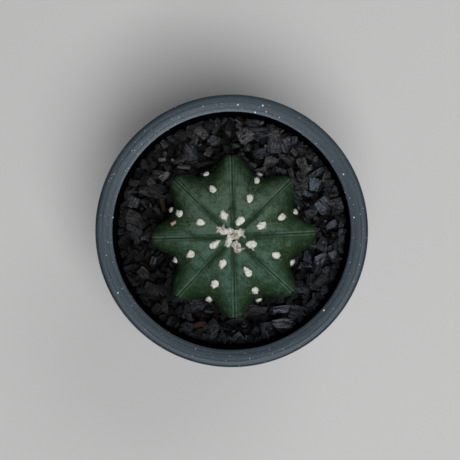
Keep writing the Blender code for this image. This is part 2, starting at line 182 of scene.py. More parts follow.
# Points of long young hair: where each one starts and ends, off the stem's axis, in millimetres
WISPS = (
    (2.6, 6.3, 2.8, 8.0),
    (3.2, 6.2, 4.2, 7.7),
    (10.8, 4.3, 10.5, 6.3),
    (11.6, 3.8, 13.3, 3.4),
    (7.5, -2.9, 8.6, -1.2),
    (7.5, -4.2, 8.2, -6.0),
    (-7.2, -3.0, -8.3, -4.8),
    (-5.9, -2.0, -4.5, -1.2),
    (-3.0, 7.4, -2.4, 5.3),
    (-4.4, 8.4, -5.8, 7.7),
    (-3.9, 3.4, -3.6, 5.2),
    (-5.6, 2.4, -7.2, 1.1),
    (-5.4, 3.2, -6.9, 3.9),
    (3.6, 1.2, 4.4, 3.2),
    (3.7, 0.6, 4.9, -0.9),
    (2.9, -4.9, 4.9, -4.6),
    (0.6, -5.0, 1.3, -6.7),
    (1.6, -5.4, 3.2, -6.2),
    (-2.6, -2.6, -3.4, -4.0),
    (-0.6, -2.9, -0.2, -4.4),
)
HAIRS_PER_WISP = 26
WISP_HAIR_WIDTHS_IN_MM = (0.06, 0.10)
WISP_HALF_WIDTH = 0.55 * MM
WISP_START_LIFT = 0.7 * MM
WISP_END_LIFT = 0.9 * MM

# Grit: its level and clearances, and its stones, whose widths and thicknesses are shares of their length
GRIT_Z = RIM_Z - 13 * MM
WALL_CLEARANCE = 0.25 * MM
STEM_CLEARANCE = 0.25 * MM
LARGEST_PUSH = 2.5 * MM
MOST_PUSHES = 8
BANKED_HEIGHT = 3.4 * MM
BANKED_FROM = 36.5 * MM
HIDDEN_UNDER_STEM = BODY_RADIUS * 0.92
GRIT_SEED = 13
STONE_SHAPES = 22
STONE_WIDTHS = (0.55, 0.92)
SLIVER_SHARE = 0.2
SLIVER_WIDTHS = (0.28, 0.42)
STONE_THICKNESSES = (0.28, 0.55)
STONE_GRAIN = (0.22, 1.0, 1.6)
RING_OFF_STEM = 1.0 * MM
NOTED_STONE_LIFT = 0.9 * MM
MOST_TRIES = 9000

# Layers of stones from the lowest up: how far apart they lie, their half lengths, how far their middles are
# under the grit's top, all in millimetres, how pale the palest is, which is kept low for the deeper layers as
# painted shade in the gaps, and how far they lean, in radians
STONE_LAYERS = (
    (2.8, (1.6, 2.5), (3.2, 4.2), 0.1, 0.38),
    (3.3, (1.6, 2.8), (1.9, 2.9), 0.3, 0.38),
    (4.3, (1.7, 4.2), (0.2, 1.4), 1.0, 0.42),
    (3.6, (0.5, 1.2), (-0.4, 1.4), 1.1, 0.38),
)

# Rings of stones, laid before those layers: how many, how far inside the wall, or None for beside the stem,
# and then the same measures, their paleness kept low as painted shade by the wall and the stem
STONE_RINGS = (
    (96, 1.2, (1.4, 2.4), (-0.8, 1.0), 0.55, 0.6),
    (80, 2.4, (1.6, 2.6), (1.6, 3.0), 0.4, 0.38),
    (64, None, (1.4, 2.4), (0.2, 1.8), 0.6, 0.38),
)

# Stones of note: each one's place, its half length, width and thickness, all in millimetres, the way it
# points, and its colour as tone (dark to pale), hue (bluish to purplish) and rust (none, reddish, sandy)
NOTED_STONES = (
    (-28.4, 10.8, 2.9, 0.9, 0.8, 98, 0.6, 1.0, 0.5),
    (-13.5, -38.5, 2.8, 1.1, 0.8, 20, 0.6, 1.0, 0.5),
    (-28.6, 29.2, 1.5, 0.9, 0.9, 15, 3.6, 0.3, 0.0),
    (-27.6, 22.6, 2.2, 1.3, 0.9, 40, 1.7, 1.0, 0.0),
    (-19.6, 26.4, 2.7, 1.0, 0.9, 175, 1.5, 1.0, 0.0),
    (20.6, -37.6, 4.4, 2.2, 1.1, -2, 0.7, 0.3, 0.0),
    (22.6, -32.0, 5.6, 1.5, 1.1, 6, 0.9, 0.1, 0.0),
    (33.6, 19.0, 2.9, 2.5, 1.2, 70, 1.2, 0.0, 0.0),
    (31.6, 25.4, 2.2, 1.6, 1.1, 20, 1.1, 0.9, 0.0),
    (20.8, -26.8, 1.3, 0.9, 0.8, 60, 2.2, 0.0, 0.0),
)

# The sandy crumb on the stem, as one more such row, with its place off the stem's axis
FALLEN_CRUMB = (-23.5, 5.2, 1.2, 0.75, 0.6, 25, 0.5, 0.5, 1.0)
CRUMB_SHAPE = 8
CRUMB_LIFT = 0.35 * MM

# Painted light and shade on the grit: how pale it is made at each eighth of a turn, and the side where it is
# bluish
GRIT_LIGHT_BY_BEARING = (1.75, 1.2, 1.65, 0.74, 0.52, 0.36, 0.7, 0.38)
BLUISH_SIDE = math.radians(-40)


class Socket:
    """An output of a shader node. Arithmetic on it adds Math nodes."""

    def __init__(self, finish, output):
        self.finish = finish
        self.output = output

    def maths(self, operation, first, second=0.0):
        return self.finish.node("ShaderNodeMath", {"operation": operation}, {0: first, 1: second})

    def __add__(self, other):
        return self.maths("ADD", self, other)

    __radd__ = __add__

    def __sub__(self, other):
        return self.maths("SUBTRACT", self, other)

    def __rsub__(self, other):
        return self.maths("SUBTRACT", other, self)

    def __mul__(self, other):
        return self.maths("MULTIPLY", self, other)

    __rmul__ = __mul__

    def clamped(self):
        return self.maths("MINIMUM", self.maths("MAXIMUM", self, 0.0), 1.0)

    def other(self, name):
        """Another output of the same node."""
        return Socket(self.finish, self.output.node.outputs[name])


class Finish:
    """A material, and the one way that nodes are added to it."""

    def __init__(self, name, constants):
        self.material = bpy.data.materials.new(name)
        self.material.use_nodes = True
        self.nodes = self.material.node_tree.nodes
        self.links = self.material.node_tree.links
        self.shader = self.nodes["Principled BSDF"]
        self.base = None
        for socket, value in constants.items():
            self.shader.inputs[socket].default_value = value

    def node(self, kind, settings=None, sockets=None, output=0):
        made = self.nodes.new(kind)
        for setting, value in (settings or {}).items():
            setattr(made, setting, value)
        for socket, value in (sockets or {}).items():
            self.feed(made.inputs[socket], value)
        return Socket(self, made.outputs[output])

    def feed(self, socket, value):
        if isinstance(value, Socket):
            self.links.new(value.output, socket)
        else:
            socket.default_value = value

    def place(self):
        """The piece's own coordinates, in metres."""
        return self.node("ShaderNodeTexCoord", output="Object")

    def spot(self):
        """The place, its three parts, and its distance from the pot's axis."""
        place = self.place()
        x = self.node("ShaderNodeSeparateXYZ", None, {0: place})
        y = x.other("Y")
        squares = x * x + y * y
        return place, x, y, x.other("Z"), squares.maths("SQRT", squares)

    def attribute(self, name):
        return self.node("ShaderNodeAttribute", {"attribute_name": name}, output="Fac")

    def combine(self, x, y, z):
        return self.node("ShaderNodeCombineXYZ", None, {"X": x, "Y": y, "Z": z})

    def noise(self, vector, scale, detail=2.0, roughness=0.5):
        sockets = {"Vector": vector, "Scale": scale, "Detail": detail, "Roughness": roughness}
        return self.node("ShaderNodeTexNoise", None, sockets)

    def dots(self, vector, cell, radius, share):
        """1 inside round dots: one dot at most in each cell, in this share of the cells."""
        apart = self.node("ShaderNodeTexVoronoi", {"feature": "F1"}, {"Vector": vector, "Scale": 1 / cell})
        pick = self.node("ShaderNodeSeparateColor", None, {0: apart.other("Color")})
        size = (0.4 + pick.other("Green") * 0.6) * (radius / cell)
        inside = self.step(size - apart, 0.0, 0.25 * radius / cell)
        return inside * pick.maths("LESS_THAN", pick, share)

    def step(self, value, low, high):
        """0 where value is at low, 1 where it is at high, and smooth between. High may be under low."""
        settings = {"interpolation_type": "SMOOTHSTEP"}
        return self.node("ShaderNodeMapRange", settings, {"Value": value, "From Min": low, "From Max": high})

    def mix(self, share, first, second):
        """A colour between two others. The node keeps its colour sockets at 6 and 7."""
        return self.node("ShaderNodeMix", {"data_type": "RGBA"}, {0: share, 6: first, 7: second}, output=2)

    def distance(self, place, centre):
        settings = {"operation": "DISTANCE"}
        return self.node("ShaderNodeVectorMath", settings, {0: place, 1: centre}, output="Value")

    def over(self, share, shade):
        """Lays a colour over this share of the colours laid so far."""
        self.base = self.mix(share, self.base, shade)

    def done(self):
        """The material, with the colours laid on it as its base colour."""
        self.feed(self.shader.inputs["Base Color"], self.base)
        return self.material

    def mix_shader(self, share, constants):
        """Lays a second, plain shader over this share of the surface."""
        plain = self.node("ShaderNodeBsdfPrincipled", None, constants)
        first = Socket(self, self.shader.outputs[0])
        both = self.node("ShaderNodeMixShader", None, {0: share, 1: first, 2: plain})
        self.feed(self.nodes["Material Output"].inputs["Surface"], both)

    def roughness(self, amount):
        self.feed(self.shader.inputs["Roughness"], amount)

    def bump(self, height, distance):
        sockets = {"Height": height, "Distance": distance}
        self.feed(self.shader.inputs["Normal"], self.node("ShaderNodeBump", None, sockets))


def rgb(red, green, blue):
    return (red, green, blue, 1.0)


def added(name, data):
    """A new object in the scene."""
    made = bpy.data.objects.new(name, data)
    bpy.context.scene.collection.objects.link(made)
    return made


def mark(mesh, name, values):
    """Gives each point of a mesh a number, for the mesh's material to read."""
    mesh.attributes.new(name, "FLOAT", "POINT").data.foreach_set("value", values)


def deselect_all():
    bpy.ops.object.select_all(action="DESELECT")


def select_mesh():
    bpy.ops.mesh.select_all(action="SELECT")


def edit():
    bpy.ops.object.mode_set(mode="EDIT")
    select_mesh()


def close_edit():
    bpy.ops.object.mode_set(mode="OBJECT")


def dress(piece, name, finish, slot, *replaced):
    """Names a finished piece, gives it its material, and fixes it to the pot's body."""
    piece.name = name
    piece.data.name = name
    piece.data.materials.clear()
    piece.data.materials.append(finish.done())
    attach(piece, "root")
    if replaced:
        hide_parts(*replaced)


def arc(centre_radius, centre_height, radius, start, end, steps):
    """Points of a profile along an arc. Angles in degrees, from the outward direction."""
    points = []
    for i in range(steps + 1):
        turn = math.radians(start + (end - start) * i / steps)
        points.append((centre_radius + radius * math.cos(turn), centre_height + radius * math.sin(turn)))
    return points


def smooth_step(value, low, high):
    share = np.clip((value - low) / (high - low), 0, 1)
    return share * share * (3 - 2 * share)


# The pot


def wall_radius_inside(height):
    shoulder_z = RIM_Z - COLLAR_HEIGHT
    shoulder_radius = RIM_INNER_RADIUS - COLLAR_TAPER
    if height >= shoulder_z:
        return shoulder_radius + (height - shoulder_z) / COLLAR_HEIGHT * COLLAR_TAPER
    foot_inside = FOOT_RADIUS - WALL_THICKNESS
    return foot_inside + height / shoulder_z * (shoulder_radius - foot_inside)


def rim_top_profile():
    """From the outer round inwards: the crest, then a band that falls ever more steeply to the lip."""
    lip_radius = RIM_INNER_RADIUS + LIP_ROUND
    lip_z = RIM_Z - RIM_INWARD_FALL
    points = arc(RIM_OUTER_RADIUS - RIM_ROUND, RIM_Z - RIM_ROUND, RIM_ROUND, 0, 85, 10)
    steps = 10
    for i in range(steps + 1):
        share = i / steps
        drop = RIM_INWARD_FALL * share ** 1.3
        points.append((RIM_CREST_RADIUS + share * (lip_radius - RIM_CREST_RADIUS), RIM_Z - drop))
    points += arc(lip_radius, lip_z - LIP_ROUND, LIP_ROUND, 105, 180, 5)
    return points


def pot_profile():
    collar_z = RIM_Z - COLLAR_HEIGHT
    collar_radius = RIM_OUTER_RADIUS - COLLAR_TAPER
    wall_top_radius = collar_radius - COLLAR_STAND_OUT
    foot_inner = FOOT_RADIUS - FOOT_RING_WIDTH
    fillet_z = FLOOR_TOP + FLOOR_FILLET
    fillet_radius = wall_radius_inside(fillet_z)
    underside_z = collar_z + COLLAR_STAND_OUT / 2
    edge = 0.5 * MM
    profile = [(DRAIN_RADIUS, FLOOR_TOP - edge), (DRAIN_RADIUS, FOOT_RECESS + edge)]
    profile += [(DRAIN_RADIUS + edge, FOOT_RECESS), (foot_inner - FOOT_RECESS / 2, FOOT_RECESS)]
    profile += [(foot_inner, edge), (foot_inner + edge, 0)]
    profile += arc(FOOT_RADIUS - FOOT_ROUND, FOOT_ROUND, FOOT_ROUND, -90, 0, 5)
    wall_steps = 8
    for i in range(1, wall_steps):
        share = i / wall_steps
        radius = FOOT_RADIUS + share * (wall_top_radius - FOOT_RADIUS)
        profile.append((radius, FOOT_ROUND + share * (collar_z - FOOT_ROUND)))
    profile += [(wall_top_radius, collar_z), (wall_top_radius + edge, collar_z + edge)]
    profile += [(collar_radius - LIP_ROUND * 1.4, underside_z - edge / 2)]
    profile += arc(collar_radius - LIP_ROUND, underside_z + LIP_ROUND, LIP_ROUND, -60, 0, 4)
    profile += rim_top_profile()
    profile += [(wall_radius_inside(collar_z), collar_z), (fillet_radius, fillet_z)]
    profile += arc(fillet_radius - FLOOR_FILLET, fillet_z, FLOOR_FILLET, -20, -90, 4)
    profile += [(DRAIN_RADIUS + edge, FLOOR_TOP)]
    return profile


def turned(profile, sides):
    """A turned piece: one ring drawn up through every point of a closed profile, and joined to itself."""
    deselect_all()
    radius, height = profile[0]
    bpy.ops.mesh.primitive_circle_add(vertices=sides, radius=radius)
    piece = bpy.context.object
    edit()
    bpy.ops.transform.translate(value=(0, 0, height))
    for next_radius, next_height in profile[1:]:
        bpy.ops.mesh.extrude_region_move(TRANSFORM_OT_translate={"value": (0, 0, next_height - height)})
        share = next_radius / radius
        bpy.ops.transform.resize(value=(share, share, 1), center_override=(0, 0, next_height))
        radius, height = next_radius, next_height
    bpy.ops.mesh.select_all(action="DESELECT")
    bpy.ops.mesh.select_non_manifold()
    bpy.ops.mesh.bridge_edge_loops()
    select_mesh()
    bpy.ops.mesh.normals_make_consistent(inside=False)
    close_edit()
    bpy.ops.object.shade_smooth_by_angle(angle=math.radians(50))
    return piece


def glaze():
    """Satin slate glaze: faint brush lines round the rim, soft clouds, and white specks of several sizes."""
    finish = Finish("glazed_slate", {"Specular Tint": rgb(0.78, 0.90, 1.0), "Specular IOR Level": 0.42})
    place, x, y, height, radius = finish.spot()
    slow = finish.noise(place, 26, 1)
    lines_at = finish.combine(radius, height, slow * 0.0022)
    fine = finish.noise(lines_at, 2600, 2, 0.6)
    broad = finish.noise(lines_at, 800, 2)
    clouds = finish.noise(place, 70, 4, 0.6)
    grain = finish.noise(place, 1500, 3, 0.7)
    finish.base = finish.mix(clouds, rgb(0.010, 0.020, 0.029), rgb(0.021, 0.034, 0.046))
    finish.over(finish.step(fine, 0.42, 0.70) * 0.75, rgb(0.041, 0.059, 0.072))
    finish.over(finish.step(fine, 0.48, 0.30) * 0.65, rgb(0.007, 0.013, 0.020))
    finish.over(finish.step(broad, 0.52, 0.36) * 0.6, rgb(0.012, 0.018, 0.028))
    finish.over(finish.step(grain, 0.55, 0.72) * 0.5, rgb(0.062, 0.076, 0.090))
    crowding = finish.noise(place, 18, 1)
    dust = finish.dots(place, 0.7 * MM, 0.15 * MM, 0.7 * crowding + 0.2)
    finish.over(dust * 0.5, rgb(0.22, 0.25, 0.27))
    small = finish.dots(place, 1.35 * MM, 0.29 * MM, 0.7 * crowding + 0.1)
    finish.over(small * 0.8, rgb(0.36, 0.40, 0.42))
    large = finish.dots(finish.combine(y, x, height), 2.5 * MM, 0.40 * MM, 0.28)
    finish.over(large, rgb(0.74, 0.77, 0.78))
    # Painted shade: the pot's inner wall, below the lip, is covered with a near-black plain shader
    inside = finish.step(radius, RIM_INNER_RADIUS + 0.3 * MM, RIM_INNER_RADIUS) * finish.attribute("inward")
    outer_round = finish.step(radius, RIM_CREST_RADIUS - 0.5 * MM, RIM_CREST_RADIUS + 0.3 * MM)
    finish.roughness(0.16 + fine * 0.10 + grain * 0.08 + outer_round * 0.22)
    painted_inner_shade = {"Base Color": rgb(0.0022, 0.0026, 0.0032), "Roughness": 0.9, "Specular IOR Level": 0.0}
    finish.mix_shader(inside, painted_inner_shade)
    finish.bump(fine * 0.5 + broad * 0.8 + grain * 0.4 + (small + large) * 0.8, 0.00003)
    return finish


def make_pot():
    piece = turned(pot_profile(), POT_SIDES)
    inward = []
    for vertex in piece.data.vertices:
        height = vertex.co.z
        in_wall = vertex.co.xy.length < wall_radius_inside(height) + WALL_THICKNESS / 2
        inward.append(float(in_wall and height > FLOOR_TOP - 0.1 * MM))
    mark(piece.data, "inward", inward)
    dress(piece, "stoneware_pot", glaze(), "slate_glaze", "pot")


# The stem


def arm_at(angle):
    """The angle off the nearest crease, the share of the way from it to the dip, and the waist's radius."""
    arms = np.array(ARMS)
    bearings = np.radians(arms[:, 0])
    past = (angle[..., None] - bearings) % FULL_TURN
    before = np.argmin(past, axis=-1)
    after = (before + 1) % len(ARMS)
    past = np.take_along_axis(past, before[..., None], -1)[..., 0]
    to_dip = (np.radians(arms[before, 2]) - bearings[before]) % FULL_TURN
    between = (bearings[after] - bearings[before]) % FULL_TURN
    first_half = past <= to_dip
    off = np.where(first_half, past, between - past)
    across = np.where(first_half, past / to_dip, (between - past) / (between - to_dip))
    tip = np.where(first_half, arms[before, 1], arms[after, 1]) * MM
    dip = arms[before, 3] * MM
    return off, across, dip + (tip - dip) * smooth_step(1 - across, DIP_ENDS, TIP_ENDS)


def bloom_and_light_at(angle):
    """How much bloom, with its painted light, there is at each bearing, from the table of arms."""
    bearings, amounts = [], []
    for (bearing, _, _, _), (clockwise, counterclockwise) in zip(ARMS, ARM_BLOOM_AND_LIGHT):
        bearings += [bearing - FLANK_OFF_CREASE, bearing + FLANK_OFF_CREASE]
        amounts += [clockwise, counterclockwise]
    return np.interp(np.degrees(angle), bearings, amounts, period=360)


def crease_at(latitude):
    outward = smooth_step(latitude, CREASE_STARTS, math.radians(85))
    depth = CREASE_DEPTH + outward * (CREASE_DEPTH_AT_TIP - CREASE_DEPTH)
    half_width = CREASE_HALF_WIDTH + outward * (CREASE_HALF_WIDTH_AT_TIP - CREASE_HALF_WIDTH)
    fades = smooth_step(latitude, 0, CREASE_STARTS)
    fades = fades * (1 - smooth_step(latitude, math.radians(110), math.radians(135)))
    return depth * fades, half_width


def arm_reach(latitude):
    """How much the arms stand out: not at the crown, fully at the waist, and not where the stem is buried."""
    buried = smooth_step(latitude, math.radians(112), math.radians(142))
    return smooth_step(latitude, 0, math.radians(82)) * (1 - buried)


def stem_section(latitude, angle):
    """(radius, height, distance from the crease, share across the arm) for arrays of latitudes and angles."""
    off, across, waist_radius = arm_at(angle)
    reach = arm_reach(latitude)
    outline = BODY_RADIUS + (waist_radius - BODY_RADIUS) * reach
    above = latitude < math.pi / 2
    rise = np.where(above, CROWN_ABOVE_WAIST, BASE_BELOW_WAIST)
    radius = outline * np.sin(latitude)
    height = rise * np.cos(latitude) - ARM_DROOP * smooth_step(1 - across, DIP_ENDS, TIP_ENDS) * reach
    height -= CROWN_DIMPLE_DEPTH * np.exp(-((radius / CROWN_DIMPLE_RADIUS) ** 2)) * above
    out = np.stack([np.sin(latitude) / outline, np.cos(latitude) / rise])
    out /= np.linalg.norm(out, axis=0)
    depth, half_width = crease_at(latitude)
    beside = radius * np.sin(off)
    inward = depth * np.clip(1 - beside / half_width, 0, 1) ** 1.6
    return radius - inward * out[0], WAIST_Z + height - inward * out[1], beside, across


def along_meridian(angle, degrees):
    """Radii and heights down the stem at one bearing, for latitudes in degrees."""
    latitudes = np.radians(np.asarray(degrees, float))
    radii, levels, _, _ = stem_section(latitudes, np.full_like(latitudes, angle))
    return radii, levels


def around_stem(angle, radius, height):
    return Vector((radius * math.cos(angle) + STEM_AXIS.x, radius * math.sin(angle) + STEM_AXIS.y, height))


def skin_level(x, y):
    """The height of the skin at a place given off the stem's axis."""
    radii, levels = along_meridian(math.atan2(y, x), range(0, 90))
    return float(np.interp(math.hypot(x, y), radii, levels))


def on_skin(x, y, lift):
    """A place this far above the skin, where x and y are given off the stem's axis."""
    return Vector((x + STEM_AXIS.x, y + STEM_AXIS.y, skin_level(x, y) + lift))


def areole_places():
    """For each areole: a matrix, with X down the dip and Z out of the skin, and its way from the crown."""
    places = []
    for (_, _, dip, _), row in zip(ARMS, AREOLE_ROWS):
        distance, step = (size * MM for size in row)
        angle = math.radians(dip)
        radii, levels = along_meridian(angle, range(151))
        travelled = np.concatenate([[0], np.cumsum(np.hypot(np.diff(radii), np.diff(levels)))])
        while distance < travelled[-2]:
            at = int(np.searchsorted(travelled, distance))
            if levels[at] < GRIT_Z + AREOLE_CLEAR_OF_GRIT:
                break
            down = Vector((radii[at + 1] - radii[at - 1], levels[at + 1] - levels[at - 1])).normalized()
            outward = Vector((math.cos(angle), math.sin(angle), 0))
            x_axis = outward * down.x + Vector((0, 0, down.y))
            y_axis = Vector((-math.sin(angle), math.cos(angle), 0))
            turn = Matrix((x_axis, y_axis, x_axis.cross(y_axis))).transposed().to_4x4()
            places.append((Matrix.Translation(around_stem(angle, radii[at], levels[at])) @ turn, distance))
            distance += step
    return places


def skin():
    """Green skin: a bluish bloom beside the creases and on the crown, yellower dips, and painted shade down
    the sides and in the creases.
    """
    finish = Finish("living_skin", {"Specular IOR Level": 0.16})
    place = finish.place()
    far = finish.node("ShaderNodeSeparateXYZ", None, {0: place}).other("Y")
    across = finish.attribute("across")
    beside = finish.attribute("beside") * 1000
    reach = finish.attribute("reach") * 1000
    side = finish.attribute("side")
    scar = finish.attribute("scar")
    flank_bloom_and_light = finish.attribute("flank_bloom_and_light")
    broad = finish.noise(place, 120, 3)
    middle = finish.noise(place, 330, 3)
    mottle = finish.noise(place, 900, 4, 0.65)
    fine = finish.noise(place, 3200, 2)
    wander = (broad - 0.5) * 4
    lengthwise = finish.noise(finish.combine(beside * 1.4, reach * 0.08, across * 4), 1.8, 4, 0.7)
    crosswise = finish.noise(finish.combine(beside * 0.10, reach * 0.9, across * 4), 1.8, 3, 0.6)
    shoulder = finish.step(beside, 0.7, 1.8) * finish.step(beside + wander, 8.0, 2.2)
    shoulder = shoulder * (1 - finish.step(reach, 16.0, 27.0) * 0.72)
    crown = finish.step(reach + wander * 1.5, 22.0, 7.0) * finish.step(beside, 0.7, 2.4)
    patchy = finish.step(middle, 0.32, 0.66)
    streaks = (lengthwise - 0.5) * (4.4 - finish.step(reach, 18.0, 27.0) * 1.8)
    bloom = (shoulder * 0.80 + crown * 0.55) * (0.30 + patchy * 1.35) + streaks
    # Painted light: the bloom is scaled by each flank's share of bloom and light from the table of arms
    bloom = (bloom * flank_bloom_and_light).clamped()
    finish.base = finish.mix(broad, rgb(0.015, 0.044, 0.014), rgb(0.033, 0.074, 0.028))
    yellow = finish.step(across + (middle - 0.5) * 0.5, 0.30, 0.85) * finish.step(reach, 10.0, 20.0)
    finish.over(yellow * 0.6, rgb(0.023, 0.048, 0.013))
    # Painted light colour: the bloom turns warm towards +Y and bluish towards -Y, for warm light on one side
    # and bluish on the other
    painted_light_tint = finish.step(far, -22 * MM, 18 * MM)
    finish.over(bloom, finish.mix(painted_light_tint, rgb(0.061, 0.129, 0.106), rgb(0.104, 0.164, 0.112)))
    # Painted shade: the skin is darkened far down the stem's sides, away from the creases
    low = finish.step(side + (middle - 0.5) * 0.25, 0.40, 0.88) * finish.step(beside, 1.0, 3.4)
    finish.over(low * 0.88, rgb(0.007, 0.018, 0.005))
    inner = finish.step(reach, 27.0, 17.0)
    finish.over(finish.step(crosswise, 0.52, 0.70) * (0.15 + inner * 0.6), rgb(0.092, 0.146, 0.104))
    finish.over(finish.step(crosswise, 0.47, 0.32) * 0.6, rgb(0.010, 0.034, 0.011))
    # Painted shade: a darker band along each crease, strongest nearer the crown
    crease_shade = finish.step(beside + (lengthwise - 0.5) * 0.8, 2.0, 0.9) * finish.step(reach, 28.0, 13.0)
    finish.over(crease_shade * 0.34, rgb(0.021, 0.048, 0.032))
    # Painted highlight: a pale line on both sides of each crease, from part way out to the tip
    crease_edge_highlight = finish.step(beside, 1.1, 0.6) * finish.step(beside, 0.15, 0.4)
    crease_edge_highlight = crease_edge_highlight * finish.step(reach, 10.0, 22.0)
    finish.over(crease_edge_highlight * (0.45 + patchy * 0.45), rgb(0.115, 0.190, 0.146))
    # Painted shade: a dark line down the bottom of each crease, a little weaker towards the tips
    crease_floor_shade = finish.step(beside, 0.36, 0.12) * finish.step(reach, 6.0, 10.0)
    finish.over(crease_floor_shade * (0.50 - finish.step(reach, 12.0, 24.0) * 0.14), rgb(0.008, 0.020, 0.012))
    rusty = finish.step(scar + (middle - 0.5) * 0.5, 0.40, 0.75) * finish.step(mottle, 0.38, 0.55)
    finish.over(rusty * 0.6, rgb(0.020, 0.024, 0.010))
    finish.over(finish.step(mottle, 0.53, 0.72) * 0.34, rgb(0.086, 0.146, 0.092))
    finish.over(finish.step(mottle, 0.47, 0.30) * 0.36, rgb(0.008, 0.026, 0.009))
    blotches = finish.noise(place, 280, 3, 0.6)
    finish.over(finish.step(blotches, 0.48, 0.30) * 0.6, rgb(0.010, 0.034, 0.011))
    finish.over(finish.step(blotches, 0.53, 0.70) * 0.6 * (1 - low * 0.6), rgb(0.086, 0.150, 0.096))
    flecks = finish.dots(place, 3.5 * MM, 0.22 * MM, 0.12)
    finish.over(flecks * 0.6, rgb(0.22, 0.27, 0.23))
    finish.roughness(0.55 - bloom * 0.05 + mottle * 0.08)
    finish.bump(mottle * 0.6 + fine * 0.3 + crosswise * 1.1 + lengthwise * 1.2, 0.00028)
    return finish


def uneven(points, scale, seed):
    """A smooth uneven value in about -1 to 1 at each point: a few waves in seeded directions."""
    rng = np.random.default_rng(seed)
    total = np.zeros(len(points))
    waves = 7
    for _ in range(waves):
        direction = rng.normal(size=3)
        direction /= np.linalg.norm(direction)
        total += np.sin(points @ direction * scale * rng.uniform(0.6, 1.5) + rng.uniform(0, FULL_TURN))
    return total / waves * 1.6


def column_angles(turn):
    """Bearings for evenly spread columns, moved closer together beside each crease."""
    column = turn / FULL_TURN * len(ARMS)
    arm = np.floor(column + 1e-6)
    half = np.clip((column - arm) * 2 - 1, -1, 1)
    half = np.sign(half) * (1 - np.clip(1 - np.abs(half), 0, 1) ** 1.5)
    arms = np.array(ARMS)
    before = arm.astype(int) % len(ARMS)
    after = (before + 1) % len(ARMS)
    dip = np.radians(arms[before, 2])
    to_before = (dip - np.radians(arms[before, 0])) % FULL_TURN
    to_after = (np.radians(arms[after, 0]) - dip) % FULL_TURN
    return dip + np.where(half < 0, half * to_before, half * to_after)


def make_stem():
    """A globe whose every vertex is moved to its place on the stem's skin."""
    deselect_all()
    bpy.ops.mesh.primitive_uv_sphere_add(segments=STEM_COLUMNS, ring_count=STEM_ROWS, radius=1)
    piece = bpy.context.object
    mesh = piece.data
    co = np.empty(len(mesh.vertices) * 3)
    mesh.vertices.foreach_get("co", co)
    co = co.reshape(-1, 3)
    angle = column_angles(np.arctan2(co[:, 1], co[:, 0]))
    latitude = STEM_END * np.arccos(np.clip(co[:, 2], -1, 1)) / math.pi
    radius, height, beside, across = stem_section(latitude, angle)
    pole = np.abs(co[:, 2]) > 1 - 1e-9
    radius = np.where(pole, 0, radius)
    height = np.where(pole & (co[:, 2] < 0), height.min() - 1 * MM, height)
    points = np.stack([radius * np.cos(angle), radius * np.sin(angle), height], axis=1)
    flat = np.sin(latitude)
    out = np.stack([flat * np.cos(angle), flat * np.sin(angle), np.cos(latitude)], axis=1)
    swell = SKIN_SWELL * uneven(points, SKIN_SWELL_SCALE, SKIN_SWELL_SEED) * smooth_step(latitude, 0.1, 0.5)
    wander = 2 * uneven(points, SKIN_RIPPLE_SCALE, SKIN_RIPPLE_SEED)
    swell += SKIN_RIPPLE * np.sin(radius / MM * 5 + wander) * (1 - across) ** 2
    points += np.array([STEM_AXIS.x, STEM_AXIS.y, 0])
    scar = np.zeros(len(points))
    for place, _ in areole_places():
        apart = np.linalg.norm(points - np.array(place.translation), axis=1)
        swell += CUSHION_HEIGHT * np.exp(-((apart / CUSHION_RADIUS) ** 2))
        scar = np.maximum(scar, np.exp(-((apart / SCAR_RADIUS) ** 4)))
    points += out * (swell * ~pole)[:, None]
    mesh.vertices.foreach_set("co", points.ravel())
    flank_bloom_and_light = bloom_and_light_at(angle)
    side = latitude / math.radians(90)
    layers = (("across", across), ("beside", beside), ("reach", radius))
    layers += (("side", side), ("scar", scar), ("flank_bloom_and_light", flank_bloom_and_light))
    for name, values in layers:
        mark(mesh, name, values.astype(np.float32))
    mesh.update()
    bpy.ops.object.shade_smooth()
    dress(piece, "stem_skin", skin(), "green_skin", "cactus_stem")


# Small shapes that are copied many times


def shape_of(piece):
    """The points and faces of a small piece, which is then removed."""
    points = np.array([vertex.co for vertex in piece.data.vertices])
    faces = [tuple(polygon.vertices) for polygon in piece.data.polygons]
    mesh = piece.data
    bpy.data.objects.remove(piece)
    bpy.data.meshes.remove(mesh)
    return points, faces


def placed(points, matrix):
    return points @ np.array(matrix.to_3x3()).T + np.array(matrix.translation)


def gathered(copies, attributes=()):
    """One object from many copies of small shapes. A copy is a shape, its matrix and its attributes."""
    points, faces = [], []
    values = {name: [] for name in attributes}
    count = 0
    for (shape_points, shape_faces), matrix, *given in copies:
        points.append(placed(shape_points, matrix))
        faces += [tuple(i + count for i in face) for face in shape_faces]
        for name, value in zip(attributes, given):
            values[name].append(np.broadcast_to(value, len(shape_points)).astype(np.float32))
        count += len(shape_points)
    mesh = bpy.data.meshes.new("gathered")
    mesh.from_pydata(np.concatenate(points).tolist(), [], faces)
    for name in attributes:
        mark(mesh, name, np.concatenate(values[name]))
    return added("gathered", mesh)


def hair_shape(curl, sides=3):
    """A hair one unit long and one across, standing on the origin and curled over towards +X."""
    deselect_all()
    bpy.ops.mesh.primitive_cone_add(vertices=sides, radius1=0.5, radius2=0.12, depth=1, location=(0, 0, 0.5))
    bpy.ops.object.transform_apply(location=True, rotation=True, scale=True)
    piece = bpy.context.object
    edit()
    for level in (0.25, 0.5, 0.75):
        select_mesh()
        bpy.ops.mesh.bisect(plane_co=(0, 0, level), plane_no=(0, 0, 1))
    close_edit()
    slimness = 10
    for vertex in piece.data.vertices:
        level = vertex.co.z
        vertex.co.z = math.sin(level * curl) / curl
        vertex.co.x += (1 - math.cos(level * curl)) / curl * slimness
    return shape_of(piece)


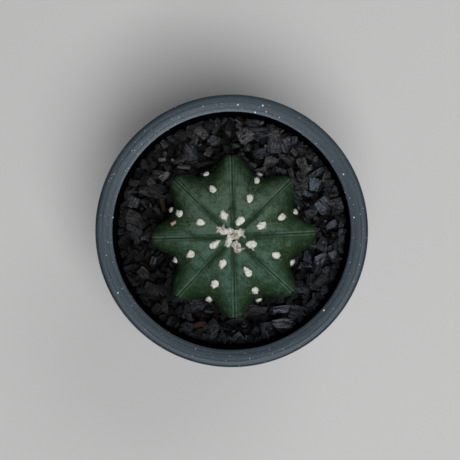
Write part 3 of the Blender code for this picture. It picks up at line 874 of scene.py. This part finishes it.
def standing(foot, direction, spin, width, length):
    """The matrix of a hair or a spine that stands on its foot's matrix and points in a direction."""
    turn = direction.to_track_quat("Z", "X").to_matrix().to_4x4()
    return foot @ turn @ Matrix.Rotation(spin, 4, "Z") @ Matrix.Diagonal((width, width, length, 1))


def stone_shape(rng):
    """An angular stone about one unit in radius: a block broken by straight cuts, with its edges worn."""
    deselect_all()
    bpy.ops.mesh.primitive_cube_add(size=2)
    piece = bpy.context.object
    edit()
    for _ in range(rng.choice((5, 6, 7))):
        normal = Vector([rng.gauss(0, 1) for _ in range(3)]).normalized()
        select_mesh()
        where = normal * rng.uniform(0.55, 0.95)
        bpy.ops.mesh.bisect(plane_co=where, plane_no=normal, use_fill=True, clear_outer=True)
    select_mesh()
    bpy.ops.mesh.remove_doubles(threshold=0.14)
    bpy.ops.mesh.bevel(offset=0.07, segments=1, affect="EDGES")
    select_mesh()
    bpy.ops.mesh.normals_make_consistent(inside=False)
    close_edit()
    return shape_of(piece)


def tuft_shape(rng):
    """A soft lump one unit in radius: narrower at one end, and uneven all over."""
    deselect_all()
    bpy.ops.mesh.primitive_ico_sphere_add(subdivisions=4, radius=1)
    piece = bpy.context.object
    points = np.array([vertex.co for vertex in piece.data.vertices])
    lumps = 1 + 0.18 * uneven(points, 2.6, rng.randrange(1000))
    lumps += 0.13 * uneven(points, 7, rng.randrange(1000))
    taper = rng.choice((-1, 1)) * rng.uniform(0.15, 0.4)
    for vertex, lump in zip(piece.data.vertices, lumps):
        vertex.co *= lump
        vertex.co.y *= 1 - taper * vertex.co.x
    return shape_of(piece)


# Wool


def wool_finish(name, shade, shadow, stain):
    """Matted wool, with painted shadow in the gaps between its locks and patches of a stain."""
    finish = Finish(name, {"Roughness": 0.9, "Specular IOR Level": 0.1})
    place = finish.place()
    strands = finish.noise(place, 3000, 3, 0.7)
    locks = finish.noise(place, 1300, 3, 0.6)
    patches = finish.noise(place, 650, 2)
    finish.base = finish.mix(finish.step(strands, 0.28, 0.60), shadow, shade)
    finish.over(finish.step(locks, 0.50, 0.34) * 0.8, shadow)
    finish.over(finish.step(patches, 0.50, 0.72) * 0.5, stain)
    finish.bump(strands + locks * 1.5, 0.00022)
    return finish


def tan_patch(finish, x, y, radius):
    """Turns the wool tan where it is old and matted, round a place off the stem's axis."""
    place = finish.place()
    patch = finish.noise(place, 1100, 3)
    apart = finish.distance(place, on_skin(x, y, LOBE_HEIGHT)) + (patch - 0.5) * 3.0 * MM
    brown = finish.mix(finish.step(patch, 0.4, 0.6), rgb(0.17, 0.11, 0.06), rgb(0.52, 0.41, 0.28))
    finish.over(finish.step(apart, radius, radius * 0.3) * 0.8, brown)


def wool_tuft(rng, place, half_size, hairs, hair_count, longest, lumps):
    """Copies for one tuft: a lump, matted hairs over it, and loose ones that stand out round its edge."""
    copies = [(rng.choice(lumps), place @ Matrix.Diagonal((*half_size, 1)))]
    points = [rng.uniform(0, FULL_TURN) for _ in range(3)]
    for i in range(hair_count):
        around = rng.uniform(0, FULL_TURN)
        loose = i % 3 == 0
        if loose:
            around = rng.choice(points) + rng.gauss(0, 0.16)
        rise = rng.uniform(0.05, 0.4) if loose else rng.uniform(0.1, 1)
        flat = math.sqrt(1 - rise * rise)
        on_ball = Vector((flat * math.cos(around), flat * math.sin(around), rise))
        root = Vector(a * b for a, b in zip(on_ball, half_size)) * 0.92
        normal = Vector(a / b for a, b in zip(on_ball, half_size)).normalized()
        lean = math.radians(rng.uniform(*(LOOSE_LEANS if loose else MATTED_LEANS)))
        side = Matrix.Rotation(rng.uniform(0, FULL_TURN), 3, normal) @ normal.orthogonal().normalized()
        direction = normal * math.cos(lean) + side * math.sin(lean)
        spin = rng.uniform(0, FULL_TURN)
        length = rng.uniform(0.5, 1) * longest
        width = rng.uniform(*HAIR_WIDTHS_IN_MM) * MM
        foot = place @ Matrix.Translation(root)
        copies.append((rng.choice(hairs), standing(foot, direction, spin, width, length)))
    return copies


def wisp(rng, start, end, hairs):
    """Copies for a point of long hair that narrows from its start to its end, a little above the skin."""
    first = Vector((*start, skin_level(*start) + WISP_START_LIFT))
    last = Vector((*end, skin_level(*end) + WISP_END_LIFT))
    along = last - first
    aside = along.cross(Vector((0, 0, 1))).normalized()
    copies = []
    for _ in range(HAIRS_PER_WISP):
        spread = rng.uniform(-1, 1) * WISP_HALF_WIDTH
        lift = Vector((0, 0, rng.uniform(-0.4, 0.3) * MM))
        root = first + aside * spread + lift + STEM_AXIS
        direction = along - aside * spread * 0.9 + aside * rng.uniform(-0.15, 0.15) * along.length
        length = direction.length * rng.uniform(0.7, 1.15)
        spin = rng.uniform(0, FULL_TURN)
        width = rng.uniform(*WISP_HAIR_WIDTHS_IN_MM) * MM
        foot = Matrix.Translation(root)
        copies.append((rng.choice(hairs), standing(foot, direction, spin, width, length)))
    return copies


def make_areole_wool():
    rng = random.Random(TUFT_SEED)
    hairs = [hair_shape(curl) for curl in (0.4, 0.9, 1.4)]
    lumps = [tuft_shape(rng) for _ in range(7)]
    copies = []
    for place, distance in areole_places():
        age = min(1, distance / TUFTS_OLD_AT)
        half_size = YOUNG_TUFT.lerp(OLD_TUFT, age) * rng.uniform(0.92, 1.08)
        if distance > WORN_TUFTS_FROM:
            half_size *= 0.9
        turn = Matrix.Rotation(rng.uniform(-0.3, 0.3), 4, "Z")
        lift = Matrix.Translation((0, 0, CUSHION_HEIGHT + (0.1 + 0.25 * age) * MM))
        copies += wool_tuft(rng, place @ lift @ turn, half_size, hairs, TUFT_HAIRS, TUFT_HAIR_LENGTH, lumps)
    finish = wool_finish("tuft_wool", rgb(0.96, 0.98, 0.92), rgb(0.48, 0.47, 0.38), rgb(0.84, 0.79, 0.66))
    dress(gathered(copies), "areole_wool", finish, "white_wool")


def make_spines():
    """Short pale spines, a few in each areole, that poke from the edge of its wool."""
    rng = random.Random(SPINE_SEED)
    thorn = hair_shape(0.25, sides=5)
    copies = []
    for place, _ in areole_places():
        for _ in range(rng.choice((2, 3, 3))):
            around = rng.uniform(0, FULL_TURN)
            tilt = math.radians(rng.uniform(*SPINE_TILTS))
            flat = math.sin(tilt)
            direction = Vector((math.cos(around) * flat, math.sin(around) * flat, math.cos(tilt)))
            length = rng.uniform(*SPINE_LENGTHS_IN_MM) * MM
            foot = place @ Matrix.Translation((0, 0, SPINE_ROOT_AT))
            copies.append((thorn, standing(foot, direction, 0, SPINE_THICKNESS, length)))
    finish = wool_finish("pale_spine", rgb(0.56, 0.52, 0.44), rgb(0.34, 0.26, 0.17), rgb(0.40, 0.30, 0.20))
    dress(gathered(copies), "areole_spines", finish, "white_wool")


def make_crown_wool():
    """The youngest tufts, run together, with points of long silvery hair that curl out over the skin."""
    rng = random.Random(CROWN_SEED)
    hairs = [hair_shape(curl) for curl in (0.7, 1.3, 2.0)]
    lumps = [tuft_shape(rng) for _ in range(5)]
    copies = []
    for *sizes, turn in CROWN_LOBES:
        x, y, half_length, half_width = (size * MM for size in sizes)
        place = Matrix.Translation(on_skin(x, y, LOBE_LIFT)) @ Matrix.Rotation(math.radians(turn), 4, "Z")
        half_size = Vector((half_length, half_width, LOBE_HEIGHT))
        copies += wool_tuft(rng, place, half_size, hairs, LOBE_HAIRS, LOBE_HAIR_LENGTH, lumps)
    for ends in WISPS:
        ends = [value * MM for value in ends]
        copies += wisp(rng, ends[:2], ends[2:], hairs)
    finish = wool_finish("young_wool", rgb(0.96, 0.98, 0.95), rgb(0.36, 0.33, 0.25), rgb(0.76, 0.68, 0.53))
    for patch in TAN_PATCHES:
        tan_patch(finish, *(size * MM for size in patch))
    dress(gathered(copies), "crown_wool_tufts", finish, "white_wool", "crown_wool")


# Grit


def stone_finish():
    """Crushed dark stone, split along its grain: near black to slate, some bluish, some purplish."""
    finish = Finish("broken_stone", {"Specular IOR Level": 0.2})
    place, _, _, height, radius = finish.spot()
    tone = finish.attribute("tone")
    hue = finish.attribute("hue")
    rust = finish.attribute("rust")
    own = finish.combine(finish.attribute("along"), finish.attribute("beside"), finish.attribute("up"))
    layers = finish.noise(own, 1.4, 4, 0.7)
    cracks = finish.noise(own, 1.0, 3, 0.6)
    grain = finish.noise(place, 1500, 4, 0.75)
    coarse = finish.noise(place, 300, 3)
    dark = finish.mix(hue, rgb(0.0010, 0.0015, 0.0024), rgb(0.0022, 0.0019, 0.0021))
    light = finish.mix(hue, rgb(0.116, 0.138, 0.168), rgb(0.138, 0.134, 0.138))
    shade = tone * (finish.step(layers, 0.42, 0.60) * 0.85 + finish.step(grain, 0.43, 0.58) * 0.5)
    finish.base = finish.mix(shade.clamped(), dark, light)
    finish.over(finish.step(cracks, 0.46, 0.38) * 0.9, dark)
    finish.over(finish.step(coarse, 0.58, 0.78) * 0.35 * tone, rgb(0.060, 0.062, 0.065))
    # Painted shade: stones lying deeper than the grit's top, seen only in the gaps, are darkened towards near
    # black
    bank = finish.step(radius, BANKED_FROM, RIM_INNER_RADIUS - 2 * MM) * BANKED_HEIGHT
    clear_of_shade = finish.step(height - bank, GRIT_Z - 1.8 * MM, GRIT_Z + 0.6 * MM)
    finish.base = finish.mix(clear_of_shade * 0.88 + 0.12, dark, finish.base)
    reddish = finish.mix(finish.step(layers, 0.35, 0.65), rgb(0.009, 0.004, 0.003), rgb(0.052, 0.021, 0.011))
    finish.over(finish.step(rust, 0.0, 0.5), reddish)
    sandy = finish.mix(grain, rgb(0.40, 0.22, 0.12), rgb(0.62, 0.42, 0.28))
    finish.over(finish.step(rust, 0.5, 1.0), sandy)
    finish.roughness(0.60 - grain * 0.2)
    finish.bump(grain * 0.8 + coarse * 0.5 + layers * 1.4 + cracks * 0.8, 0.0005)
    return finish


def stem_edges():
    """The stem's radius at each degree round it, for heights from under the grit to above it."""
    heights = np.linspace(GRIT_Z - 8 * MM, GRIT_Z + 7 * MM, 16)
    table = []
    for degree in range(360):
        radii, levels = along_meridian(math.radians(degree), range(90, 157))
        table.append(np.interp(heights, levels[::-1], radii[::-1]))
    return heights, np.array(table)


def out_of_walls(points, edges):
    """How far and which way a stone must move to clear the stem or the pot's wall, or zero."""
    heights, table = edges
    x = points[:, 0] - STEM_AXIS.x
    y = points[:, 1] - STEM_AXIS.y
    degree = np.degrees(np.arctan2(y, x)).astype(int) % 360
    row = np.clip(np.searchsorted(heights, points[:, 2]), 0, len(heights) - 1)
    into_stem = table[degree, row] + STEM_CLEARANCE - np.hypot(x, y)
    radius = np.hypot(points[:, 0], points[:, 1])
    wall = np.array([wall_radius_inside(z) for z in points[:, 2]])
    into_wall = radius - (wall - WALL_CLEARANCE)
    worst = into_stem.argmax()
    if into_stem[worst] > 0:
        return Vector((x[worst], y[worst], 0)).normalized() * into_stem[worst]
    worst = into_wall.argmax()
    if into_wall[worst] > 0:
        return -Vector((*points[worst, :2], 0)).normalized() * into_wall[worst]
    return Vector((0, 0, 0))


def settled(shape, matrix, edges):
    """The stone's matrix, moved sideways until the stone is clear, or None if it would have to go far."""
    moved = 0
    for _ in range(MOST_PUSHES):
        push = out_of_walls(placed(shape[0], matrix), edges)
        if push.length == 0:
            return matrix
        moved += push.length
        if moved > LARGEST_PUSH:
            return None
        matrix = Matrix.Translation(push * 1.02) @ matrix
    return None


def polar(radius, angle):
    return Vector((radius * math.cos(angle), radius * math.sin(angle)))


def clear_spots(rng, spacing):
    """Seeded spots over the grit, none nearer to another than the spacing."""
    kept = []
    grid = {}
    for _ in range(MOST_TRIES):
        radius = RIM_INNER_RADIUS * math.sqrt(rng.random())
        angle = rng.uniform(0, FULL_TURN)
        spot = polar(radius, angle)
        cell = (int(spot.x // spacing), int(spot.y // spacing))
        near = [s for i in (-1, 0, 1) for j in (-1, 0, 1) for s in grid.get((cell[0] + i, cell[1] + j), ())]
        if any((spot - other).length < spacing for other in near):
            continue
        grid.setdefault(cell, []).append(spot)
        kept.append(spot)
    return kept


def stone_matrix(rng, spot, level, long, wide, thick, lean):
    turn = Matrix.Rotation(rng.uniform(0, FULL_TURN), 4, "Z")
    turn = turn @ Matrix.Rotation(rng.gauss(0, lean), 4, "X") @ Matrix.Rotation(rng.gauss(0, lean), 4, "Y")
    return Matrix.Translation((spot[0], spot[1], level)) @ turn @ Matrix.Diagonal((long, wide, thick, 1))


def laid_flat(place, bearing, half_sizes):
    """The matrix of a stone that lies flat and points one way."""
    turn = Matrix.Rotation(math.radians(bearing), 4, "Z")
    return Matrix.Translation(place) @ turn @ Matrix.Diagonal((*half_sizes, 1))


def banked(radius):
    """How much higher the grit lies near the pot's wall."""
    return BANKED_HEIGHT * float(smooth_step(radius, BANKED_FROM, RIM_INNER_RADIUS - 2 * MM))


def stone_copy(rng, shape, matrix, tone, hue, rust=0.0):
    """A stone and its attributes. Its own grain runs along it, and starts somewhere else on each stone."""
    sizes = np.array(matrix.to_scale()) / MM
    own = shape[0] * sizes * STONE_GRAIN + np.array([rng.uniform(0, 90) for _ in range(3)])
    return (shape, matrix, tone, hue, rust, own[:, 0], own[:, 1], own[:, 2])


def stone_layer(rng, shapes, edges, spots, half_lengths, depths, palest_with_shade, lean):
    """Copies for one layer of stones, at these spots. Its measures are in millimetres, as in the table."""
    copies = []
    shortest, longest = (size * MM for size in half_lengths)
    shallowest, deepest = (size * MM for size in depths)
    for spot in spots:
        if (spot - STEM_AXIS.xy).length < HIDDEN_UNDER_STEM:
            continue
        long = shortest + (longest - shortest) * rng.random() ** 1.4
        sliver = rng.random() < SLIVER_SHARE
        wide = long * rng.uniform(*(SLIVER_WIDTHS if sliver else STONE_WIDTHS))
        thick = long * rng.uniform(*STONE_THICKNESSES)
        shape = rng.choice(shapes)
        level = GRIT_Z - rng.uniform(shallowest, deepest) + banked(spot.length)
        matrix = stone_matrix(rng, spot, level, long, wide, thick, lean)
        matrix = settled(shape, matrix, edges)
        bearing = math.atan2(spot.y, spot.x)
        # Painted light and shade: the stone's tone is raised or lowered by its bearing round the pot
        painted_light = float(np.interp(math.degrees(bearing), range(0, 360, 45), GRIT_LIGHT_BY_BEARING, period=360))
        # Painted shade: the deeper layers and the rings by the wall and the stem get a lower paleness
        tone = (0.20 + 0.80 * rng.random() ** 1.7) * painted_light * palest_with_shade
        hue = rng.random() - 0.35 * math.cos(bearing - BLUISH_SIDE)
        if matrix:
            copies.append(stone_copy(rng, shape, matrix, tone, hue))
    return copies


def beside_stem(angle):
    """Just outside the stem's widest line, as a radius from the pot's middle."""
    waist = float(arm_at(np.array([angle]))[2][0])
    spot = polar(waist, angle) + STEM_AXIS.xy
    return spot.length + RING_OFF_STEM


def spots_along(rng, count, from_wall):
    """Spots all round, this many millimetres inside the pot's wall, or beside the stem where it is None."""
    spots = []
    for i in range(count):
        angle = FULL_TURN * (i + rng.uniform(-0.3, 0.3)) / count
        radius = beside_stem(angle) if from_wall is None else RIM_INNER_RADIUS - from_wall * MM
        spots.append(polar(radius, angle))
    return spots


def make_grit():
    rng = random.Random(GRIT_SEED)
    shapes = [stone_shape(rng) for _ in range(STONE_SHAPES)]
    edges = stem_edges()
    copies = []
    for count, from_wall, *layer in STONE_RINGS:
        copies += stone_layer(rng, shapes, edges, spots_along(rng, count, from_wall), *layer)
    for spacing, *layer in STONE_LAYERS:
        copies += stone_layer(rng, shapes, edges, clear_spots(rng, spacing * MM), *layer)
    for shape, (*sizes, bearing, tone, hue, rust) in zip(shapes, NOTED_STONES):
        x, y, *half_sizes = (size * MM for size in sizes)
        level = GRIT_Z + NOTED_STONE_LIFT + banked(math.hypot(x, y))
        matrix = laid_flat((x, y, level), bearing, half_sizes)
        copies.append(stone_copy(rng, shape, matrix, tone, hue, rust))
    *sizes, bearing, tone, hue, rust = FALLEN_CRUMB
    x, y, *half_sizes = (size * MM for size in sizes)
    matrix = laid_flat(on_skin(x, y, CRUMB_LIFT), bearing, half_sizes)
    copies.append(stone_copy(rng, shapes[CRUMB_SHAPE], matrix, tone, hue, rust))
    stones = gathered(copies, ("tone", "hue", "rust", "along", "beside", "up"))
    dress(stones, "grit_stones", stone_finish(), "dark_stone", "grit")


def mix_finish():
    """Damp potting mix, seen through the drainage hole and between stones."""
    finish = Finish("crumbled_mix", {"Roughness": 0.95, "Specular IOR Level": 0.2})
    place = finish.place()
    crumbs = finish.noise(place, 500, 5, 0.7)
    pale = finish.step(crumbs, 0.35, 0.7)
    finish.base = finish.mix(pale, rgb(0.004, 0.0035, 0.003), rgb(0.030, 0.022, 0.015))
    finish.bump(crumbs, 0.0008)
    return finish


def dress_mix():
    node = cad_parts["potting_mix"]
    node.data.materials.clear()
    node.data.materials.append(mix_finish().done())


# Stage, camera and light


def make_floor():
    deselect_all()
    bpy.ops.mesh.primitive_plane_add(size=4)
    floor = bpy.context.object
    floor.name = "floor"
    finish = Finish("pale_floor", {"Roughness": 0.7})
    finish.base = rgb(0.66, 0.66, 0.65)
    floor.data.materials.append(finish.done())


def make_camera():
    """Straight above the rim, at a height that shows as much of the inner wall as the photo does."""
    frame_pixels = 460
    rim_pixels = 273.6
    pot_centre = (231.7, 230.8)
    above_rim = 0.48
    sensor = 36
    pixels_per_metre = rim_pixels / (2 * RIM_OUTER_RADIUS)
    camera = bpy.data.cameras.new("camera")
    camera.sensor_width = sensor
    camera.lens = pixels_per_metre * above_rim * sensor / frame_pixels
    camera.clip_end = 20
    seat = added("camera", camera)
    middle = frame_pixels / 2
    aside = ((middle - pot_centre[0]) / pixels_per_metre, (pot_centre[1] - middle) / pixels_per_metre)
    seat.location = (aside[0], aside[1], RIM_Z + above_rim)
    bpy.context.scene.camera = seat


def area_light(name, place, aim, size, power):
    light = bpy.data.lights.new(name, "AREA")
    light.shape = "SQUARE"
    light.size = size
    light.energy = power
    holder = added(name, light)
    holder.location = place
    holder.rotation_euler = (Vector(aim) - Vector(place)).to_track_quat("-Z", "Y").to_euler()


def make_light():
    """A soft box almost overhead, at the lower right, a weak one at the upper right, and a dim room."""
    target = (0, 0, RIM_Z)
    area_light("key", (0.20, -0.51, 1.58), target, 0.84, 19.2)
    area_light("fill", (0.45, 0.70, 0.99), target, 0.7, 2.6)
    world = bpy.data.worlds.new("room")
    world.use_nodes = True
    background = world.node_tree.nodes["Background"]
    background.inputs["Color"].default_value = rgb(0.93, 0.96, 1.0)
    background.inputs["Strength"].default_value = 0.07
    bpy.context.scene.world = world
    bpy.context.scene.view_settings.view_transform = "Standard"


make_camera()
make_light()
make_floor()
make_pot()
make_stem()
make_areole_wool()
make_spines()
make_crown_wool()
make_grit()
dress_mix()
